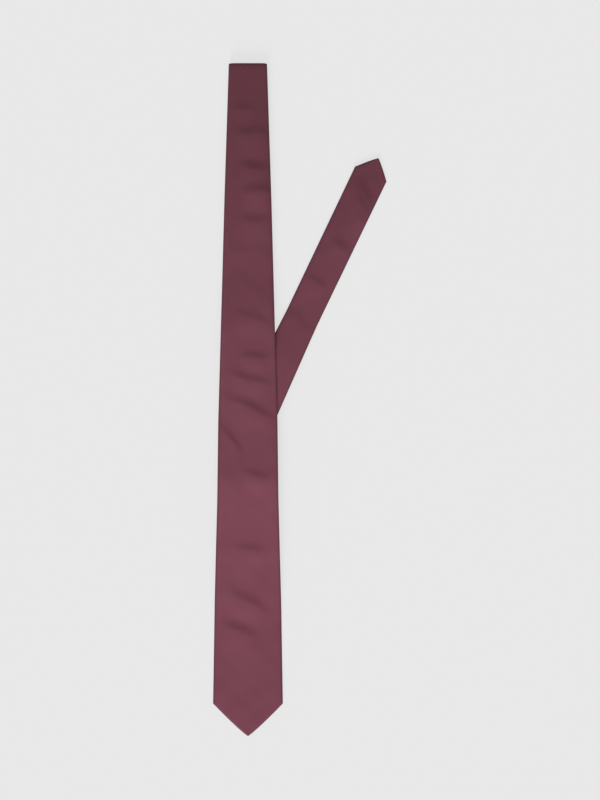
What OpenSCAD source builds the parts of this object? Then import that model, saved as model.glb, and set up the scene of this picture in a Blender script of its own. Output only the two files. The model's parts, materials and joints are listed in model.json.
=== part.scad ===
// Necktie, laid face up and folded in three: blade on top, neck strip under it,
// tail turned up and out to the right. Millimetres, +Y towards the top fold, +Z up,
// origin on the table under the middle of the folded tie.

/* [Blade] */
// Length of the blade from the top fold to its point
blade_length = 733; // [650:1:800]
// Width of the blade at the top fold
blade_top_w = 42; // [36:0.5:50]
// Width of the blade half way down
blade_mid_w = 65; // [55:0.5:75]
// Widest width, at the shoulders above the point
blade_wide_w = 76.3; // [66:0.1:90]
// Height of the pointed end, shoulders to point
blade_point_h = 35.5; // [30:0.5:45]
// How far below the fold the half-way width is taken
blade_mid_drop = 388; // [300:1:450]

/* [Neck strip] */
// Width of the neck strip at the top fold
neck_top_w = 41.4; // [34:0.1:48]
// Width of the neck strip where the tail turns up
neck_low_w = 36.4; // [30:0.1:42]
// Distance from the top fold down to the turn of the tail
turn_drop = 400; // [360:1:430]
// Drop of the seam between the blade piece and the neck piece
blade_seam_drop = 62; // [40:1:120]
// Drop of the seam between the neck piece and the tail piece
tail_seam_drop = 318; // [200:1:340]

/* [Tail] */
// Length of the tail from its turn to its point
tail_length = 329; // [300:1:380]
// Widest width of the tail, at its shoulders
tail_wide_w = 38; // [30:0.1:44]
// Height of the tail's pointed end
tail_point_h = 19.3; // [15:0.1:24]
// Angle of the tail, leaning right from the blade
tail_angle = 25.6; // [20:0.1:32]

/* [Layers] */
// Thickness of the made-up tie
tie_t = 2.6; // [2.2:0.1:3.2]
// Thickness of the envelope, silk and seam allowances together
shell_t = 0.7; // [0.6:0.05:0.8]
// Clear space between two layers that lie on each other
layer_gap = 0.3; // [0.3:0.05:0.6]

/* [Bends] */
// Distance from the top fold down to where the blade bends
blade_bend_drop = 441.5; // [436:0.5:452]
// Distance along the tail to where it bends
tail_bend_s = 140; // [138:1:180]
// Gap between the two stiff lengths at a bend
bend_gap = 3; // [2.8:0.1:4]

/* [Keeper loop] */
// Distance from the blade's point up to the middle of the keeper loop
keeper_rise = 216.5; // [200:0.5:222]
// Length of the band across the blade
keeper_l = 44; // [36:1:52]
// Width of the band
keeper_w = 14; // [10:0.5:18]
// Thickness of the folded band
keeper_t = 0.8; // [0.6:0.1:1]
// Height of the loop's opening
keeper_open = 4.3; // [4.2:0.1:5]

/* [Hidden] */

top_y = blade_length / 2;
point_y = -top_y;
shoulder_y = point_y + blade_point_h;
mid_y = top_y - blade_mid_drop;
turn_y = top_y - turn_drop;
keeper_y = point_y + keeper_rise;
tail_shoulder_s = tail_length - tail_point_h;
fold_lean = tail_angle / 2;

// The tail's far shoulder sets how far right the tie reaches
tail_reach_x = tail_shoulder_s * sin(tail_angle) + tail_wide_w / 2 * cos(tail_angle);
body_x = (blade_wide_w / 2 - tail_reach_x) / 2;

// Heights of the stacked layers
pitch = tie_t + layer_gap;
bend_r = pitch / 2 + tie_t / 2;
fold_y = top_y - bend_r;
blade_bend_y = top_y - blade_bend_drop;
keeper_gap = 0.2;
keeper_roof = keeper_gap + keeper_t + keeper_open;
tail_fall_s = 88;
tail_down_s = 131;
plan_h = 30;

// Underside of the blade as [y, z], from the fold to the point
blade_line = [[fold_y, pitch], [105, pitch], [80, 2 * pitch], [-48, 2 * pitch],
    [keeper_y + 15, keeper_roof], [keeper_y - 15, keeper_roof], [keeper_y - 92, 0], [point_y, 0]];
// Underside of the tail as [distance from the turn, z]
tail_line = [[-10, pitch], [tail_fall_s, pitch], [tail_down_s, 0], [tail_length, 0]];
neck_line = [[fold_y, 0], [turn_y - 10, 0]];

// Depths of what lies inside the envelope, above its underside
core_low = shell_t + 0.35;
core_high = tie_t - shell_t - 0.05;
tipping_low = shell_t + 0.05;
tipping_high = shell_t + 0.3;
slit = 1;
stitch_step = 14;

// The part of an underside line between two places, the first one further along +Y
function between(line, a, b) = concat([[a, lookup(a, line)]],
    [for (p = line) if (p[0] < max(a, b) && p[0] > min(a, b)) p], [[b, lookup(b, line)]]);
function back_up(pts, h) = [for (i = [len(pts) - 1 : -1 : 0]) [pts[i][0], pts[i][1] + h]];

// Everything between two heights above an underside line
module layer(line, a, b, low, high)
    let (pts = between(line, a, b))
    rotate([90, 0, 90]) translate([0, 0, -60]) linear_extrude(120)
    polygon(concat([for (p = pts) [p[0], p[1] + low]], back_up(pts, high)));

// Plans, seen from above, drawn about each strip's own centre line; e pulls the edges in
function mirrored(right) = concat(right, [for (i = [len(right) - 1 : -1 : 0]) [-right[i][0], right[i][1]]]);
function blade_plan(e) = mirrored([[blade_top_w / 2 - e, top_y], [blade_mid_w / 2 - e, mid_y],
    [blade_wide_w / 2 - e, shoulder_y + e / 2], [0.01, point_y + 1.4 * e]]);
function tail_half(s) = (neck_low_w + (tail_wide_w - neck_low_w) * s / tail_shoulder_s) / 2;
// early moves the slanted start back past the fold line
function tail_plan(e, early = 0) = [[tail_half(0) - e, (tail_half(0) - e) * tan(fold_lean) - early],
    [tail_half(tail_shoulder_s) - e, tail_shoulder_s - e / 2], [0, tail_length - 1.4 * e],
    [e - tail_half(tail_shoulder_s), tail_shoulder_s - e / 2],
    [e - tail_half(0), (e - tail_half(0)) * tan(fold_lean) - early]];
function neck_half(drop) = (neck_top_w + (neck_low_w - neck_top_w) * drop / turn_drop) / 2;
// One length of the neck strip, its two ends cut on a slant
function neck_plan(from, from_lean, to, to_lean, e) = [
    [neck_half(from) - e, top_y - from - (neck_half(from) - e) * from_lean],
    [neck_half(to) - e, top_y - to - (neck_half(to) - e) * to_lean],
    [e - neck_half(to), top_y - to + (neck_half(to) - e) * to_lean],
    [e - neck_half(from), top_y - from + (neck_half(from) - e) * from_lean]];

module plan(pts) translate([0, 0, -5]) linear_extrude(plan_h) polygon(pts);
module on_blade() translate([body_x, 0, 0]) children();
module on_tail() translate([body_x, turn_y, 0]) rotate([0, 0, -tail_angle]) children();

// A length of flattened tube, open along its centre back
module blade_tube(a, b) difference() {
    intersection() { layer(blade_line, a, b, 0, tie_t); plan(blade_plan(0)); }
    intersection() { layer(blade_line, a + 1, b - 1, shell_t, tie_t - shell_t); plan(blade_plan(shell_t)); }
    intersection() { layer(blade_line, a + 1, b - 1, -1, shell_t + 0.1); plan(blade_back_slit()); }
}
function blade_back_slit() = [[slit / 2, top_y], [slit / 2, opening_y], [24, shoulder_y + 3],
    [0, point_y + 12], [-24, shoulder_y + 3], [-slit / 2, opening_y], [-slit / 2, top_y]];
opening_y = keeper_y - 48;
bar_tack_y = opening_y + 4;

module tail_tube(a, b) difference() {
    intersection() { layer(tail_line, a, b, 0, tie_t); plan(tail_plan(0)); }
    intersection() { layer(tail_line, a - 1, b + 1, shell_t, tie_t - shell_t); plan(tail_plan(shell_t, 3)); }
    intersection() { layer(tail_line, a - 1, b + 1, -1, shell_t + 0.1); plan(tail_back_slit()); }
}
tail_opening_s = tail_length - 72;
function tail_back_slit() = [[slit / 2, -10], [slit / 2, tail_opening_s], [10.5, tail_shoulder_s - 4],
    [0, tail_length - 11], [-10.5, tail_shoulder_s - 4], [-slit / 2, tail_opening_s], [-slit / 2, -10]];

// The neck strip lies seam side up
module neck_tube(from, from_lean, to, to_lean) difference() {
    linear_extrude(tie_t) polygon(neck_plan(from, from_lean, to, to_lean, 0));
    translate([0, 0, shell_t]) linear_extrude(tie_t - 2 * shell_t)
        polygon(neck_plan(from - 1, from_lean, to + 1, to_lean, shell_t));
    translate([0, 0, tie_t - shell_t - 0.1]) linear_extrude(1)
        translate([-slit / 2, turn_y - 10]) square([slit, turn_drop + 10]);
}
seam_lean = 0.8;
turn_lean = tan(fold_lean);
seam_gap = 0.1;

// Short bars of thread across the seam, one every stitch step
module stitches(line, a, b, low)
    for (y = [min(a, b) + 5 : stitch_step : max(a, b) - 5])
        translate([-0.45, y, lookup(y, line) + low]) cube([0.9, 0.5, 0.25]);

module blade_end_over_fold() color([0.45, 0.27, 0.31]) on_blade()
    neck_tube(bend_r, 0, blade_seam_drop, seam_lean);
module neck_envelope() color([0.42, 0.25, 0.29]) on_blade()
    neck_tube(blade_seam_drop + seam_gap, seam_lean, tail_seam_drop, seam_lean);
module tail_start_envelope() color([0.4, 0.24, 0.28]) on_blade()
    neck_tube(tail_seam_drop + seam_gap, seam_lean, turn_drop, turn_lean);
module neck_interlining() color([0.85, 0.82, 0.74]) on_blade()
    translate([0, 0, shell_t + 0.05]) linear_extrude(core_high - core_low)
    polygon(neck_plan(bend_r, 0, turn_drop, turn_lean, shell_t + 0.6));
module neck_slip_stitch() color([0.3, 0.14, 0.18]) on_blade()
    stitches(neck_line, fold_y, turn_y, tie_t - shell_t + 0.05);

// A strip turned back on itself: half a thick ring along the fold line
module half_ring(width) rotate([90, 0, 90]) translate([0, bend_r, -width / 2]) linear_extrude(width)
    difference() {
        circle(r = bend_r, $fn = 48);
        circle(r = layer_gap / 2, $fn = 24);
        translate([-seam_gap, -2 * bend_r]) square(4 * bend_r);
    }
module neck_fold_bend() color([0.36, 0.22, 0.26]) on_blade()
    translate([0, fold_y, 0]) mirror([0, 1, 0]) half_ring(blade_top_w);
module tail_turn_bend() color([0.36, 0.22, 0.26]) on_blade()
    translate([0, turn_y, 0]) rotate([0, 0, -fold_lean]) half_ring(neck_low_w / cos(fold_lean));

module blade_envelope_upper() color([0.45, 0.27, 0.31]) on_blade()
    blade_tube(fold_y, blade_bend_y + bend_gap / 2);
module blade_interlining_upper() color([0.85, 0.82, 0.74]) on_blade() intersection() {
    layer(blade_line, fold_y, blade_bend_y + bend_gap / 2, core_low, core_high);
    plan(blade_plan(shell_t + 0.6));
}
module blade_slip_stitch_upper() color([0.3, 0.14, 0.18]) on_blade()
    stitches(blade_line, fold_y, blade_bend_y, 0.08);

module blade_envelope_lower() color([0.47, 0.27, 0.31]) on_blade()
    blade_tube(blade_bend_y - bend_gap / 2, point_y);
module blade_interlining_lower() color([0.85, 0.82, 0.74]) on_blade() intersection() {
    layer(blade_line, blade_bend_y - bend_gap / 2, point_y, core_low, core_high);
    plan(blade_plan(shell_t + 0.8));
}
module blade_slip_stitch_lower() color([0.3, 0.14, 0.18]) on_blade()
    stitches(blade_line, blade_bend_y, bar_tack_y, 0.08);
module blade_tipping() color([0.35, 0.16, 0.2]) on_blade() intersection() {
    layer(blade_line, opening_y - 4, point_y, tipping_low, tipping_high);
    plan(blade_plan(3));
}
module blade_bar_tack() color([0.3, 0.14, 0.18]) on_blade() intersection() {
    layer(blade_line, bar_tack_y + 1, bar_tack_y - 1, -0.4, 0);
    plan([[4, 0], [4, -300], [-4, -300], [-4, 0]]);
}
// The slack loop of sewing thread that lets the seam stretch
module reserve_thread() color([0.3, 0.14, 0.18]) on_blade()
    translate([3, bar_tack_y - 9, lookup(bar_tack_y - 9, blade_line) - 1]) rotate([4, 0, 0])
    rotate_extrude($fn = 40) translate([4, 0]) circle(r = 0.25, $fn = 16);
module maker_label() color([0.8, 0.76, 0.68]) on_blade() intersection() {
    layer(blade_line, keeper_y + 52, keeper_y + 26, -0.35, -0.02);
    plan([[20, 0], [20, -200], [-20, -200], [-20, 0]]);
}
// The band's ends, turned up and sewn to the back of the blade
module keeper_ends() color([0.43, 0.25, 0.29]) on_blade() for (side = [-1, 1])
    translate([side * (keeper_l / 2 + 0.9) - 0.5, keeper_y - keeper_w / 2, keeper_gap])
        cube([1, keeper_w, keeper_roof - keeper_gap]);
module keeper_tacks() color([0.3, 0.14, 0.18]) on_blade() for (side = [-1, 1], end = [-1, 1])
    translate([side * (keeper_l / 2 + 2.2) - 0.75, keeper_y + end * (keeper_w / 2 - 1.5) - 0.4, keeper_roof - 0.4])
        cube([1.5, 0.8, 0.38]);
module keeper_band() color([0.43, 0.25, 0.29]) on_blade()
    translate([-keeper_l / 2, keeper_y - keeper_w / 2, keeper_gap]) cube([keeper_l, keeper_w, keeper_t]);

module tail_envelope_inner() color([0.4, 0.24, 0.27]) on_tail() tail_tube(-6, tail_bend_s - bend_gap / 2);
module tail_interlining_inner() color([0.85, 0.82, 0.74]) on_tail() intersection() {
    layer(tail_line, -6, tail_bend_s - bend_gap / 2, core_low, core_high);
    plan(tail_plan(shell_t + 0.6));
}
module tail_slip_stitch_inner() color([0.3, 0.14, 0.18]) on_tail()
    stitches(tail_line, 4, tail_bend_s, 0.08);
module tail_envelope_outer() color([0.38, 0.23, 0.26]) on_tail()
    tail_tube(tail_bend_s + bend_gap / 2, tail_length);
module tail_interlining_outer() color([0.85, 0.82, 0.74]) on_tail() intersection() {
    layer(tail_line, tail_bend_s + bend_gap / 2, tail_length, core_low, core_high);
    plan(tail_plan(shell_t + 0.8));
}
module tail_slip_stitch_outer() color([0.3, 0.14, 0.18]) on_tail()
    stitches(tail_line, tail_bend_s, tail_opening_s - 6, 0.08);
module tail_tipping() color([0.35, 0.16, 0.2]) on_tail() intersection() {
    layer(tail_line, tail_opening_s + 4, tail_length, tipping_low, tipping_high);
    plan(tail_plan(2.4));
}
module tail_bar_tack() color([0.3, 0.14, 0.18]) on_tail()
    translate([-0.45, tail_opening_s - 5, 0.05]) cube([0.9, 2, 0.3]);
module care_tag() color([0.86, 0.85, 0.82]) on_tail()
    translate([-5, tail_opening_s + 34, 0.05]) cube([10, 14, 0.3]);

blade_end_over_fold();
neck_envelope();
tail_start_envelope();
neck_interlining();
neck_slip_stitch();
neck_fold_bend();
tail_turn_bend();
blade_envelope_upper();
blade_interlining_upper();
blade_slip_stitch_upper();
blade_envelope_lower();
blade_interlining_lower();
blade_slip_stitch_lower();
blade_tipping();
blade_bar_tack();
reserve_thread();
maker_label();
keeper_ends();
keeper_tacks();
keeper_band();
tail_envelope_inner();
tail_interlining_inner();
tail_slip_stitch_inner();
tail_envelope_outer();
tail_interlining_outer();
tail_slip_stitch_outer();
tail_tipping();
tail_bar_tack();
care_tag();
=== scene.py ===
import bmesh
import bpy
import json
import math
import numpy as np
from mathutils import Vector

# A necktie laid face up: its wide blade folded over at the top, its narrow tail turned out to the right
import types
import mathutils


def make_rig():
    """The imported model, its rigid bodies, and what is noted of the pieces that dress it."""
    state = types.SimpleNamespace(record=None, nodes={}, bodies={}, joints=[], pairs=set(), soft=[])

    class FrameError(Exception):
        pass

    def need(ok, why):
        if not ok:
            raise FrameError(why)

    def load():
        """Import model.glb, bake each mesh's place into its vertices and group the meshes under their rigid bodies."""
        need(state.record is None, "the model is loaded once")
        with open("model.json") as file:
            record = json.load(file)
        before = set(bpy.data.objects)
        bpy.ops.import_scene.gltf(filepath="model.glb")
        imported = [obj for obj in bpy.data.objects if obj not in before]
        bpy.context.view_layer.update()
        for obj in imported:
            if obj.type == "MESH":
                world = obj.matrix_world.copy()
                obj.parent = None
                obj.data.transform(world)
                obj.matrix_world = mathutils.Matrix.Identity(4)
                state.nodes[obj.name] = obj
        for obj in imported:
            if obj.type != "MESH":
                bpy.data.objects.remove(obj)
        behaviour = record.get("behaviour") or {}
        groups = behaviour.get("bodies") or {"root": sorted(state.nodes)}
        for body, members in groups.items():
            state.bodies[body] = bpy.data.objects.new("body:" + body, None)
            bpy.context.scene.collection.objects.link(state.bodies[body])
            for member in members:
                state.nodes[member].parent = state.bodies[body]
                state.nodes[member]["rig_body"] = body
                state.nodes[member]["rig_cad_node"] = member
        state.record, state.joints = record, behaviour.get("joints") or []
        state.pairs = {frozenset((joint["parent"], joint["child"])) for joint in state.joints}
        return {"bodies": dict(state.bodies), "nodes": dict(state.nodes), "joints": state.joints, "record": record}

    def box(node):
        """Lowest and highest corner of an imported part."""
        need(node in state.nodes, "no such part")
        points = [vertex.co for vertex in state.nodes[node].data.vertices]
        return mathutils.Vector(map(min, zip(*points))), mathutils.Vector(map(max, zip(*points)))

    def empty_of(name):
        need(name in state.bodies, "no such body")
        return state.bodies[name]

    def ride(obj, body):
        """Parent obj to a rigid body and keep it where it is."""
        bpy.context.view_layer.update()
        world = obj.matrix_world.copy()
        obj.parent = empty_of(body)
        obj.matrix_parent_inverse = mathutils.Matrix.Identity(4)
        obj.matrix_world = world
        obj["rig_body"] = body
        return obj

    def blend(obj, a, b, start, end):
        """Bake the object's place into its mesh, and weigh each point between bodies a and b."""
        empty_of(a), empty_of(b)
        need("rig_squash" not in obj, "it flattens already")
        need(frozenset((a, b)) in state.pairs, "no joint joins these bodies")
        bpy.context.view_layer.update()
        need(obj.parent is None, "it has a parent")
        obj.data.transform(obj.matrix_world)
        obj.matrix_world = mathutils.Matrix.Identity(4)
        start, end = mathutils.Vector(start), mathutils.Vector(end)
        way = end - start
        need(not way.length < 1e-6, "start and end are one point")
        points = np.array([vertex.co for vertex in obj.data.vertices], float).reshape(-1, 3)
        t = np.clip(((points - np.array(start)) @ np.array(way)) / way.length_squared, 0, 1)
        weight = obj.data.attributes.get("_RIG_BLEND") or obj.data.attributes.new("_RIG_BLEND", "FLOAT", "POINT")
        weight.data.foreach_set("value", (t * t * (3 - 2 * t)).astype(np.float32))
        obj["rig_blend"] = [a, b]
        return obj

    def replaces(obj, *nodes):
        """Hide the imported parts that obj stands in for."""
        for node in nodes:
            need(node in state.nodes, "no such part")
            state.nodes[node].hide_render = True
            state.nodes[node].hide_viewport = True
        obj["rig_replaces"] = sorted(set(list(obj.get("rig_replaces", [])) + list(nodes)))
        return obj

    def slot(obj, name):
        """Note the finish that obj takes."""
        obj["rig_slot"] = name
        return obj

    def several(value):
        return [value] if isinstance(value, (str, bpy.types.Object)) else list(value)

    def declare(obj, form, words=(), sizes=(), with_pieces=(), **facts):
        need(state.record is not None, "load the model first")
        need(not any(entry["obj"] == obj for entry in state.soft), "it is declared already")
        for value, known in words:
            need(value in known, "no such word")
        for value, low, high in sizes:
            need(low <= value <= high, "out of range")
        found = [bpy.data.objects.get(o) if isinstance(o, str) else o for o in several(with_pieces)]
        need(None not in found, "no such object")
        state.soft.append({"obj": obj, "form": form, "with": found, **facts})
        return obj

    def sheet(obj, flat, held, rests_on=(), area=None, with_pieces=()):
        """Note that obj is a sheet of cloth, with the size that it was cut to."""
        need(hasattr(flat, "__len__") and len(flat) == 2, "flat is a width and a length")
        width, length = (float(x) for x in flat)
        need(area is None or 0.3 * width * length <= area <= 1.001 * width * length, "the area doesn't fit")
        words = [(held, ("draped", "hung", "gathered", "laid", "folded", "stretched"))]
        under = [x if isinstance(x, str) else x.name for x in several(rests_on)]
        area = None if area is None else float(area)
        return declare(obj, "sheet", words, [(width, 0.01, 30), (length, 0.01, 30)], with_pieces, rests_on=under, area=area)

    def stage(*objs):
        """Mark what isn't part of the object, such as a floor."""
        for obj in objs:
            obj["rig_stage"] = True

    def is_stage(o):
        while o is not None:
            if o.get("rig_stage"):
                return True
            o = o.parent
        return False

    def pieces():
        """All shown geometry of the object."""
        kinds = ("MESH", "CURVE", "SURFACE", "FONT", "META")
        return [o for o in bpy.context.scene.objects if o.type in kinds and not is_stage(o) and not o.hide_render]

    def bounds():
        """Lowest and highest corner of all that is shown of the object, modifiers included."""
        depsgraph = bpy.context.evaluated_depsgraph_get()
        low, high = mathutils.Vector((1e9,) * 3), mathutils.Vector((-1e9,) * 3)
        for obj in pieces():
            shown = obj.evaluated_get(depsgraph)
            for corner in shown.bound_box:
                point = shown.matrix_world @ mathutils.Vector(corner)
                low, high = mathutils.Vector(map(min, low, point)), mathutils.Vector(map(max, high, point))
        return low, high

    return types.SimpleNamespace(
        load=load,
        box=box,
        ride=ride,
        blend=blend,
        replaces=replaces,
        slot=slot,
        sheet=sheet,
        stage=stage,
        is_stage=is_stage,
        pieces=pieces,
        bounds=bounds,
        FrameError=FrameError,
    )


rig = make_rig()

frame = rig.load()
cad_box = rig.bounds()
JOINTS = {j["name"]: j for j in frame["joints"]}
MM = 0.001

# ------------------------ sizes, from the frame


def size_of(node, axis):
    low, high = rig.box(node)
    return high[axis] - low[axis]


TOP_Y, POINT_Y = cad_box[1].y, cad_box[0].y
BODY_X = JOINTS["neck_fold"]["pos_m"][0]
THICK = size_of("neck_envelope", 2)
LAYER_GAP = 0.3 * MM
PITCH = THICK + LAYER_GAP
BEND_R = PITCH / 2 + THICK / 2
TURN_R = PITCH / 2
FOLD_Y = TOP_Y - BEND_R
TURN_DROP = 0.400
TURN_Y = TOP_Y - TURN_DROP
LEAN = math.atan2(-JOINTS["tail_turn"]["axis"][1], JOINTS["tail_turn"]["axis"][0])
TAIL_LENGTH = 0.329
KEEPER_Y = sum(c[1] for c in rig.box("keeper_band")) / 2
KEEPER_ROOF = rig.box("keeper_ends")[1][2]

# Half widths of the made-up tie, by distance from the top fold or along the tail
BLADE_DROPS = [0.0, 0.148, 0.270, 0.388, 0.475, 0.585, 0.696]
BLADE_HALVES = [0.0208, 0.0256, 0.0289, 0.0322, 0.0333, 0.0362, 0.0380]
NECK_TOP_HALF = size_of("blade_end_over_fold", 0) / 2
NECK_LOW_HALF = 0.0182
TAIL_WIDE_HALF = 0.0190
BLADE_POINT_H = 0.0355
TAIL_POINT_H = 0.0193
POINT_SWELL = 0.9
NARROWEST = 0.4 * MM

# The neck and the tail spread where the tail turns under the blade
TURN_FLARE = 4.4 * MM
NECK_FLARE_DROP = 0.270
TAIL_FLARE_S = 0.135

# Where the cloth is cut from piece to piece
BLADE_CUT_Y = 0.290
BLADE_SEAM_DROP = 0.062
TAIL_SEAM_DROP = 0.318
SEAM_LEAN = 0.8
SEAM_GAP = 0.04 * MM
TAIL_CUT_S = 0.030

# Where the back seam opens towards the points
OPENING_Y = KEEPER_Y - 0.048
OPENING_S = TAIL_LENGTH - 0.072

CLOTH = 0.45 * MM
EDGE_R = 0.8 * MM
OVERLAP = 3 * MM


def ease(a, b, v):
    t = np.clip((v - a) / (b - a), 0, 1)
    return t * t * (3 - 2 * t)


def blade_half(y):
    half = np.interp(TOP_Y - y, BLADE_DROPS, BLADE_HALVES)
    point = BLADE_HALVES[-1] * max(0.0, (y - POINT_Y) / BLADE_POINT_H) ** POINT_SWELL
    return max(min(half, point), NARROWEST)


def neck_half(drop):
    flare = TURN_FLARE * float(ease(NECK_FLARE_DROP, TURN_DROP, drop))
    return NECK_TOP_HALF + (NECK_LOW_HALF - NECK_TOP_HALF) * drop / TURN_DROP + flare


def tail_half(s):
    half = NECK_LOW_HALF + (TAIL_WIDE_HALF - NECK_LOW_HALF) * s / (TAIL_LENGTH - TAIL_POINT_H)
    half += TURN_FLARE * max(0.0, 1 - s / TAIL_FLARE_S)
    point = TAIL_WIDE_HALF * max(0.0, (TAIL_LENGTH - s) / TAIL_POINT_H) ** POINT_SWELL
    return max(min(half, point), NARROWEST)


# ------------------------ how the cloth lies

# Soft creases across the front: place, from, to, slope, then height and run in mm
BLADE_CREASES = [
    (0.315, -0.018, 0.012, 0.0, 0.7, 5), (0.288, -0.010, 0.022, -0.05, 1.5, 7),
    (0.250, -0.008, 0.024, -0.03, 1.8, 7.5), (0.2245, -0.006, 0.028, 0.03, 2.1, 8),
    (0.193, -0.010, 0.024, 0.0, 1.3, 6.5), (0.161, -0.020, 0.020, 0.0, 0.25, 4),
    (0.088, -0.013, 0.021, -0.42, 0.8, 5.5), (0.045, -0.009, 0.024, 0.0, 1.5, 6.5),
    (0.020, -0.020, 0.025, -0.27, 1.7, 6.5), (-0.012, -0.023, 0.031, -0.45, 2.0, 7.5),
    (-0.046, -0.029, -0.006, -1.1, 1.3, 6.5), (-0.084, -0.004, 0.022, -0.15, 1.0, 5.5),
    (-0.165, -0.018, 0.019, -0.16, 1.8, 9), (-0.222, -0.020, 0.020, -0.55, 1.5, 8),
    (-0.254, -0.028, 0.012, -0.33, 1.7, 8),
]
# The same along the tail
TAIL_CREASES = [
    (0.222, -0.008, 0.016, -0.3, 1.1, 6), (0.176, -0.014, 0.008, -0.2, 0.8, 5),
    (0.285, -0.008, 0.016, -0.8, 1.7, 8), (0.130, -0.010, 0.016, -0.3, 0.4, 5),
    (0.271, -0.004, 0.018, -0.8, 1.6, 8), (0.257, 0.004, 0.020, -0.8, 1.0, 7),
]
# How much longer the gentle side of a crease is, how far its bed reaches, and how deep a hollow may be
CREASE_GENTLE, CREASE_BED, DEEPEST = 2.9, 34 * MM, 1.7 * MM
LEVELLING = 0.08 * MM
# How far the line of a crease wanders, and over what length
WAVER, WAVER_LENGTH = 0.9 * MM, 5.5 * MM


def creases(rows, x, along, room):
    """Low ridges, steep on the side that faces up the table and long on the other. Where there is
    no room above them they rise out of a shallow bed instead."""
    ridge, bed = np.zeros_like(x), np.zeros_like(x)
    for place, left, right, slope, height, run in rows:
        middle, reach = (left + right) / 2, (right - left) / 2
        waver = WAVER * np.sin(x / WAVER_LENGTH + place * 97)
        off = along - place - slope * (x - middle) + waver
        across = np.exp(-np.abs((x - middle) / reach) ** 3)
        width = np.where(off > 0, 1, CREASE_GENTLE) * run * MM
        ridge += height * MM * across * np.exp(-(off / width) ** 2)
        short = max(0.0, height * MM - room(place))
        bed += short * np.exp(-np.abs((x - middle) / (reach * 1.3)) ** 4) * np.exp(-(off / CREASE_BED) ** 2)
    return ridge - eased(bed, DEEPEST)


def eased(depth, limit):
    """A depth that levels off as it nears its limit."""
    return depth / (1 + (np.abs(depth) / limit) ** 8) ** 0.125


def within(relief, room):
    """The relief, levelled off under the room above it and over the layers below."""
    below = room - LEVELLING * np.logaddexp(0, (room - relief) / LEVELLING)
    return np.where(below < 0, eased(below, DEEPEST), below)


SWELL, SWELL_SHORTEST, SWELL_STEP = 0.07 * MM, 0.026, 0.013


def rolling(x, along, seed):
    """Slow unevenness of pressed cloth, soft hollows and swells of a few sizes, none above the rest."""
    total = np.zeros_like(x)
    for i in range(4):
        turn = seed + 1.9 * i
        length = SWELL_SHORTEST + SWELL_STEP * i
        skew = along + 0.25 * x * math.sin(turn)
        total += np.sin(skew * 2 * math.pi / length + turn) * np.cos(x * 4.5 / length + 1.3 * turn) - 1
    return total * SWELL


CORNER_REACH = 6 * MM

# How high the blade's underside lies: on the table, over the keeper, over neck and tail, over the neck
BLADE_YS = [POINT_Y, KEEPER_Y - 0.092, KEEPER_Y - 0.018, KEEPER_Y + 0.018, -0.048, 0.080, 0.135, TOP_Y]
BLADE_ZS = [0.0, 0.0, KEEPER_ROOF, KEEPER_ROOF, 2 * PITCH, 2 * PITCH, PITCH, PITCH]


def soft_line(v, places, heights, reach):
    """A line through the places with its corners rounded off."""
    return sum(np.interp(v + reach * k / 4, places, heights) for k in range(-4, 5)) / 9


def blade_under(y):
    return soft_line(y, BLADE_YS, BLADE_ZS, CORNER_REACH)


# The neck holds the blade up out to its half width; beyond it the margins hang, so much and no more
NECK_HOLDS_HALF, SAG_FROM, SAG_CURVE, SAG_LIMIT = 19.5 * MM, 3 * MM, 14, 2.2 * MM


def blade_sag(x, y):
    """The margins hang a little where nothing lies under them."""
    held = np.where(y > TURN_Y, NECK_HOLDS_HALF, 0.0)
    past = np.clip(np.abs(x) - held - SAG_FROM, 0, None)
    on_neck = ease(TURN_Y - 0.004, TURN_Y + 0.030, y) * ease(0.270, 0.200, y)
    by_tail = np.where(x > 0, 1 - ease(-0.060, -0.035, y) * ease(0.090, 0.070, y), 1.0)
    return np.minimum(SAG_CURVE * past ** 2, SAG_LIMIT) * on_neck * by_tail


def blade_lift(x, y):
    return blade_under(y) - blade_sag(x, y)


def blade_room(y):
    """How far the front may rise before it is the highest thing on the tie."""
    return 2 * PITCH - blade_under(y)


def front_share(h):
    """The front takes all of a crease, the back none, and what is inside its share."""
    return np.clip(h / THICK + 0.5, 0, 1)


# The cloth sinks this much over the keeper
KEEPER_HOLLOW = 0.8 * MM


def blade_relief(x, y):
    """The front's creases and unevenness, none of it at the pressed top fold."""
    quiet = ease(TOP_Y - 0.004, TOP_Y - 0.030, y)
    settled = KEEPER_HOLLOW * ease(-0.075, -0.150, y) * ease(-0.245, -0.170, y)
    relief = creases(BLADE_CREASES, x, y, blade_room) + rolling(x, y, 1.3) - settled
    return within(relief, blade_room(y)) * quiet


# The tail lies a layer up beneath the blade, and comes down to the table past its edge
TAIL_SS = [-0.02, 0.088, 0.146, TAIL_LENGTH]
TAIL_ZS = [PITCH, PITCH, 0.0, 0.0]


def tail_lift(s):
    return soft_line(s, TAIL_SS, TAIL_ZS, CORNER_REACH)


def tail_room(s):
    """Nothing lies over the tail, so all of it has the same room."""
    return 3 * MM


def tail_relief(x, s):
    relief = creases(TAIL_CREASES, x, s, tail_room) + rolling(x, s, 4.2)
    return within(relief, tail_room(s)) * ease(0.080, 0.125, s)


# ------------------------ rows: one slice of tie each
# A row places points of its slice: x across, h out of the middle towards the front face.
# It also holds its half width and how much painted shade its cloth takes near a fold.


# How dark the painted shade near a fold is, and how far from the fold it reaches
FOLD_SHADE_STRENGTH, FOLD_SHADE_REACH = 0.9, 9 * MM


def shade_near_fold(away):
    """How much painted shade the cloth takes at a distance from its fold."""
    return FOLD_SHADE_STRENGTH * float(ease(FOLD_SHADE_REACH, 0.0, away)) ** 2


def blade_row(y):
    def place(x, h):
        ys = np.full_like(x, y)
        z = blade_lift(x, ys) + blade_relief(x, ys) * front_share(h) + THICK / 2 + h
        return np.stack([BODY_X + x, ys, z], 1)
    return place, blade_half(y), shade_near_fold(FOLD_Y - y)


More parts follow.
